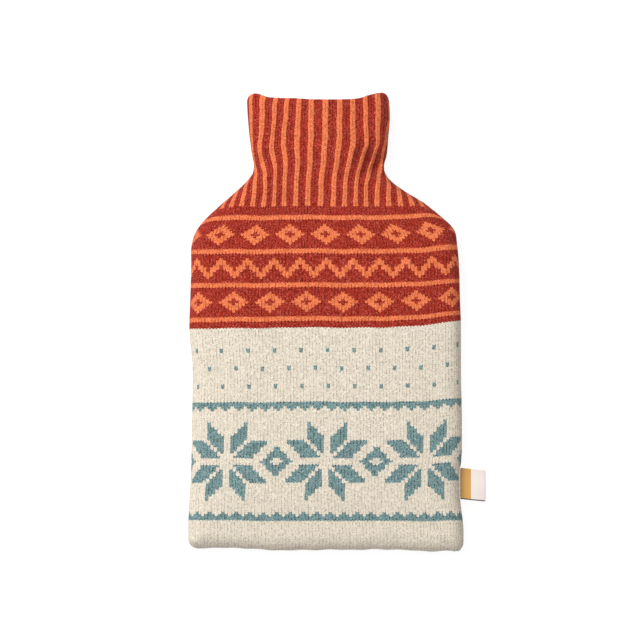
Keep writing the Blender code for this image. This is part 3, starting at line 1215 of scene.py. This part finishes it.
@dataclass
class KnitPanel:
    """One knitted panel: a sheet of stitches that turns down to the seam, with a plain inner face."""

    name: str
    side: Side
    roll: float
    chart: Chart
    outline: Outline
    finish: FeltedKnit
    seed: int
    leg_rise: float = 0.34 * MM  # of a stitch's legs above the edge of its wale
    middle_rise: float = 0.16 * MM
    tip: float = 0.25  # share of a course by which a stitch's middle hangs down, and its edges stand up
    wobble: float = 0.35 * MM
    wave_wales: float = 41
    wave_height: float = 73 * MM
    wave_shares: tuple = (1, 0.57, 0.31)
    shade: float = 0.03  # unevenness of the dye from stitch to stitch
    crowded: float = 0.15 * MM
    level_play: float = 0.01 * MM
    rim_angle: float = math.radians(55)
    rim_round: float = 0.8 * MM
    inner_share: float = 0.08
    seen_inside: float = 55 * MM  # how deep the inner face stays fine below the mouth

    def __post_init__(self) -> None:
        """Works out the size of the lattice."""
        self.lie = Lie(self.outline, self.roll)
        self.wales = 2 * (HALF_REPEATS + SPARE_REPEATS) * RIB_WALES
        self.courses = SPARE_COURSES + BODY_COURSES + YOKE_COURSES + NECK_COURSES
        self.random = np.random.default_rng(self.seed)

    @property
    def mesh(self) -> bpy.types.Mesh:
        """The piece's mesh."""
        return self.piece.data

    def build(self) -> bpy.types.Object:
        """Models the panel, from a lattice with a column for each edge, leg and middle of a stitch.

        Returns:
            The piece.
        """
        self.piece, self.column, self.row = grid(self.name, self.wales * COLUMNS, self.courses)
        self.lay()
        self.colour_stitches()
        self.trim()
        self.drop_wall()
        self.mark_stitches()
        self.thicken()
        self.raise_stitches()
        self.dress()
        return self.piece

    def waves(self, at: np.ndarray, length: float) -> np.ndarray:
        """A slow, uneven wave between about -1 and 1 along a line."""
        lengths = [(length * share, self.random.uniform(0, 2 * math.pi)) for share in self.wave_shares]
        return sum(np.sin(2 * math.pi * at / wave + start) / 2 for wave, start in lengths)

    def lay(self) -> None:
        """Moves the lattice to where the knit lies, and keeps each vertex's distance from the seam."""
        phase = (self.column % COLUMNS) / COLUMNS
        zigzag = self.tip * np.cos(2 * math.pi * phase) * (self.row < self.courses)
        height = (self.row - SPARE_COURSES + zigzag) * self.lie.course - self.lie.spare
        bob = self.wobble * self.waves(self.column / COLUMNS, self.wave_wales)
        height = height + bob * ease(height / HEM_FADE) * ease((RIM_HEIGHT - height) / HEM_FADE)
        count = self.column / COLUMNS / RIB_WALES - HALF_REPEATS - SPARE_REPEATS
        middle = np.clip(1 - (count / HALF_REPEATS) ** 2, 0, 1)
        drift = self.wobble / (RIB_WALES * WALE) * self.waves(height, self.wave_height) * middle
        places, self.distance = self.lie.settle(count + drift, height)
        x, seen = places.T
        share = (1 - np.clip(1 - self.distance / self.roll, 0, 1) ** ROLL_POWER) ** (1 / ROLL_POWER)
        rise = turned = self.roll * share
        if self.side is Side.FRONT:
            extra = swell(x, seen, self.distance) + rib_relief(count, x, seen, self.distance)
            rise = turned + extra * turned / self.roll
        level = SEAM_LEVEL + self.side.value * (SEAM_GAP / 2 + SEAM_WALL + rise)
        write(self.mesh.vertices, "co", np.column_stack([x, seen - ORIGIN_HEIGHT, level]))

    def colour_stitches(self) -> None:
        """Gives each face its yarn, and the mesh a map in wales and courses."""
        corners = Corners(self.mesh)
        column, row = self.column[corners.vertex], self.row[corners.vertex]
        wale = (np.minimum.reduceat(column, corners.start) // COLUMNS).astype(int)
        course = np.minimum.reduceat(row, corners.start).astype(int)
        dyes = self.chart.rows(np.arange(self.wales) - self.wales // 2)
        chart = np.array([[(*dye.value.colour, dye.value.heather) for dye in line] for line in dyes])
        chart[:, :, :3] *= 1 + self.shade * self.random.normal(size=(self.courses, self.wales, 1)).clip(-2, 2)
        yarn = self.mesh.color_attributes.new("yarn", "FLOAT_COLOR", "CORNER")
        write(yarn.data, "color", np.repeat(chart[course, wale], corners.total, axis=0))
        stitches = self.mesh.uv_layers.new(name="stitches")
        write(stitches.uv, "vector", np.column_stack([column / COLUMNS, row]))

    def trim(self) -> None:
        """Cuts off what lies wholly outside the seam, and faces the knit outwards."""
        corners = Corners(self.mesh)
        outside = np.maximum.reduceat(self.distance[corners.vertex], corners.start) <= 0
        edit_selected(self.piece, "FACE", outside)
        bpy.ops.mesh.delete(type="FACE")
        bpy.ops.mesh.select_all(action="SELECT")
        bpy.ops.mesh.remove_doubles(threshold=self.crowded)
        bpy.ops.mesh.dissolve_degenerate(threshold=self.crowded / 10)
        bpy.ops.mesh.select_all(action="SELECT")
        if self.side is Side.BACK:
            bpy.ops.mesh.flip_normals()
        bpy.ops.object.mode_set(mode="OBJECT")

    def drop_wall(self) -> None:
        """Extrudes the knit's edge along the seam, straight towards the other panel."""
        mesh = self.mesh
        uses = np.bincount(read(mesh.loops, "edge_index", 1, np.int32), minlength=len(mesh.edges))
        ends = read(mesh.edges, "vertices", 2, np.int32)
        above_seam = np.abs(read(mesh.vertices, "co", 3)[:, 2] - SEAM_LEVEL)
        at_seam = above_seam < SEAM_GAP / 2 + SEAM_WALL + self.level_play
        edit_selected(self.piece, "EDGE", (uses == 1) & at_seam[ends].all(1))
        way = (0, 0, -self.side.value * SEAM_WALL)
        bpy.ops.mesh.extrude_region_move(TRANSFORM_OT_translate={"value": way})
        bpy.ops.object.mode_set(mode="OBJECT")

    def mark_stitches(self) -> None:
        """Keeps, on each vertex, how far and which way its part of a stitch stands up."""
        mesh = self.mesh
        across = np.zeros(len(mesh.vertices))
        across[Corners(mesh).vertex] = read(mesh.uv_layers["stitches"].uv, "vector", 2)[:, 0]
        phase = np.round(across % 1 * COLUMNS) % COLUMNS
        rise = np.select([phase == 0, phase == 2], [0, self.middle_rise], self.leg_rise) - self.leg_rise
        marks = mesh.attributes.new("stitch", "FLOAT_VECTOR", "POINT")
        write(marks.data, "vector", read(mesh.vertices, "normal", 3) * rise[:, None])

    def thicken(self) -> None:
        """Gives the knit its thickness and a coarser inner face, and leaves the rims selected."""
        for _ in range(2):
            self.mesh.materials.append(None)
        solidify(self.piece, CLOTH, True)
        corners = Corners(self.mesh)
        shared = np.zeros(len(self.mesh.vertices), bool)
        shared[corners.vertex[~corners.inner]] = True
        deep = RIM_HEIGHT - self.seen_inside - ORIGIN_HEIGHT
        kept = shared | (read(self.mesh.vertices, "co", 3)[:, 1] > deep)
        fine = np.logical_or.reduceat(kept[corners.vertex], corners.start)
        edit_selected(self.piece, "FACE", corners.inner[corners.start] & ~fine)
        bpy.ops.mesh.decimate(ratio=self.inner_share)
        bpy.ops.mesh.select_all(action="DESELECT")
        bpy.ops.mesh.select_mode(type="EDGE")
        bpy.ops.mesh.edges_select_sharp(sharpness=self.rim_angle)
        bpy.ops.object.mode_set(mode="OBJECT")

    def raise_stitches(self) -> None:
        """Moves the outer face's vertices to the relief of the stitches."""
        mesh, corners = self.mesh, Corners(self.mesh)
        moves = read(mesh.attributes["stitch"].data, "vector", 3)
        moves[corners.vertex[corners.inner]] = 0
        write(mesh.vertices, "co", read(mesh.vertices, "co", 3) + moves)
        mesh.attributes.remove(mesh.attributes["stitch"])

    def dress(self) -> None:
        """Rounds the selected rims and gives the panel its wool."""
        bpy.ops.object.mode_set(mode="EDIT")
        bpy.ops.mesh.bevel(offset=self.rim_round, segments=2, affect="EDGES", clamp_overlap=True)
        bpy.ops.object.mode_set(mode="OBJECT")
        self.mesh.polygons.foreach_set("material_index", np.zeros(len(self.mesh.polygons), np.int32))
        self.mesh.materials.clear()
        self.mesh.materials.append(self.finish.material(self.name + "_wool"))
        deselect()
        self.piece.select_set(True)
        bpy.ops.object.shade_smooth()


@dataclass
class Label:
    """A blank ribbon, folded once and sewn into the right side seam."""

    outline: Outline
    finish: SatinRibbon
    height: float = 52.7 * MM
    width: float = 23.7 * MM
    reach: float = 20 * MM
    ribbon: float = 0.5 * MM
    loop: float = 0.6 * MM
    droop: float = 3 * MM
    curl: float = 0.5 * MM
    slant: float = 0.1
    overlap: float = 0.9 * MM  # by which the lower layer shows below the upper one, as a thin strip of painted shadow
    steps: int = 24
    turn_steps: int = 10
    rows: int = 28
    smooth_angle: float = math.radians(40)

    def section(self) -> tuple:
        """Goes out along the lower layer, around the fold and back along the upper one.

        Returns:
            How far out each point is, and how far above the middle of the fold.
        """
        skin = self.loop / 2 + self.ribbon
        straight = self.reach - skin
        out = np.linspace(0, straight, self.steps + 1)
        turn = np.radians(np.linspace(-90, 90, self.turn_steps + 1)[1:-1])
        reach = np.concatenate([out, straight + skin * np.cos(turn), out[::-1]])
        side = np.concatenate([np.full_like(out, -skin), skin * np.sin(turn), np.full_like(out, skin)])
        return reach, side

    def build(self) -> bpy.types.Object:
        """Models the label.

        Returns:
            The piece.
        """
        reach, side = self.section()
        piece, column, row = grid("woven_label", len(reach) - 1, self.rows)
        mesh, point = piece.data, column.astype(int)
        out, up = reach[point], side[point]
        share, place = out / self.reach, row / self.rows - 0.5
        across = place * self.width
        lapped = np.interp(point, (0, self.steps, self.steps + self.turn_steps), (1, 1, 0)) * self.overlap
        level = SEAM_LEVEL + up + share**2 * (self.curl * np.cos(2 * math.pi * place) - self.droop)
        height = self.height + across - lapped - self.slant * out
        seam_x = self.outline.side("right", height) + SEAM_GAP
        tip_x = self.outline.side("right", self.height) + SEAM_GAP + self.reach
        x = seam_x + share * (tip_x - seam_x)
        write(mesh.vertices, "co", np.column_stack([x, height - ORIGIN_HEIGHT, level]))
        uv = np.column_stack([out, across])[Corners(mesh).vertex]
        write(mesh.uv_layers.new(name="ribbon").uv, "vector", uv)
        edit_selected(piece, "FACE", np.ones(len(mesh.polygons), bool))
        bpy.ops.mesh.flip_normals()
        bpy.ops.object.mode_set(mode="OBJECT")
        # the second material, on the fold's inner face, is painted shadow
        for material in (self.finish.material("label_ribbon"), self.finish.back("label_painted_shadow")):
            mesh.materials.append(material)
        solidify(piece, self.ribbon, False)
        bpy.ops.object.shade_smooth_by_angle(angle=self.smooth_angle)
        return piece


@dataclass
class Studio:
    """The plain floor, the soft light and the camera straight above."""

    frame_width: float = 502.4 * MM  # what the picture shows across, at the seam's level
    middle_x: float = -4.7 * MM
    middle_y: float = 1.05 * MM
    camera_height: float = 8.0
    sensor: float = 36 * MM
    floor_size: float = 8.0
    sky: float = 0.6
    lamp_height: float = 2.2
    lamp_power: float = 92.0
    lamp_size: float = 2.0
    lamp_place: tuple = (-1.1, 0.95)

    def build(self) -> None:
        """Sets up the studio."""
        self.add_floor()
        self.add_light()
        self.add_camera()

    def add_floor(self) -> None:
        """A wide white floor under the cover."""
        deselect()
        bpy.ops.mesh.primitive_plane_add(size=self.floor_size)
        floor = bpy.context.object
        floor.name = floor.data.name = "studio_floor"
        floor.data.materials.append(PaleFloor().material("studio_floor"))

    def add_light(self) -> None:
        """A white surround and one wide lamp above the neck's left."""
        world = bpy.data.worlds.new("studio")
        world.use_nodes = True
        background = world.node_tree.nodes["Background"]
        background.inputs["Color"].default_value = (1, 1, 1, 1)
        background.inputs["Strength"].default_value = self.sky
        bpy.context.scene.world = world
        x, y = self.lamp_place
        bpy.ops.object.light_add(type="AREA", location=(x, y, self.lamp_height))
        lamp = bpy.context.object
        lamp.name = "wide_lamp"
        lamp.data.shape = "DISK"
        lamp.data.size = self.lamp_size
        lamp.data.energy = self.lamp_power
        lamp.rotation_euler = (math.atan2(-y, self.lamp_height), math.atan2(x, self.lamp_height), 0)
        lamp.visible_camera = False

    def add_camera(self) -> None:
        """A long lens that looks straight down."""
        place = (self.middle_x, self.middle_y, self.camera_height)
        bpy.ops.object.camera_add(location=place, rotation=(0, 0, 0))
        camera = bpy.context.object
        camera.name = "camera"
        camera.data.sensor_width = self.sensor / MM
        camera.data.lens = camera.data.sensor_width * (self.camera_height - SEAM_LEVEL) / self.frame_width
        camera.data.clip_end = 3 * self.camera_height
        bpy.context.scene.camera = camera
        bpy.context.scene.view_settings.view_transform = "Standard"


def declare(piece: bpy.types.Object, node: str) -> None:
    """Puts a piece in a node's place on the body and reports it.

    Args:
        piece: the finished piece.
        node: the solid that it stands for.
    """
    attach(piece, "root")
    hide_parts(node)
    log.info("%s replaces %s: %d faces", piece.name, node, len(piece.data.polygons))


def main() -> None:
    """Builds the pieces and the studio."""
    logging.basicConfig(level=logging.INFO, format="%(name)s: %(message)s")
    outline = Outline()
    front = KnitPanel("front_knit", Side.FRONT, FRONT_ROLL, FRONT_CHART, outline, FeltedKnit(), 11).build()
    declare(front, "front_panel")
    back = KnitPanel("back_knit", Side.BACK, BACK_ROLL, BACK_CHART, outline, FeltedKnit(), 12).build()
    declare(back, "back_panel")
    label = Label(outline, SatinRibbon()).build()
    declare(label, "side_label")
    Studio().build()


if __name__ == "__main__":
    main()
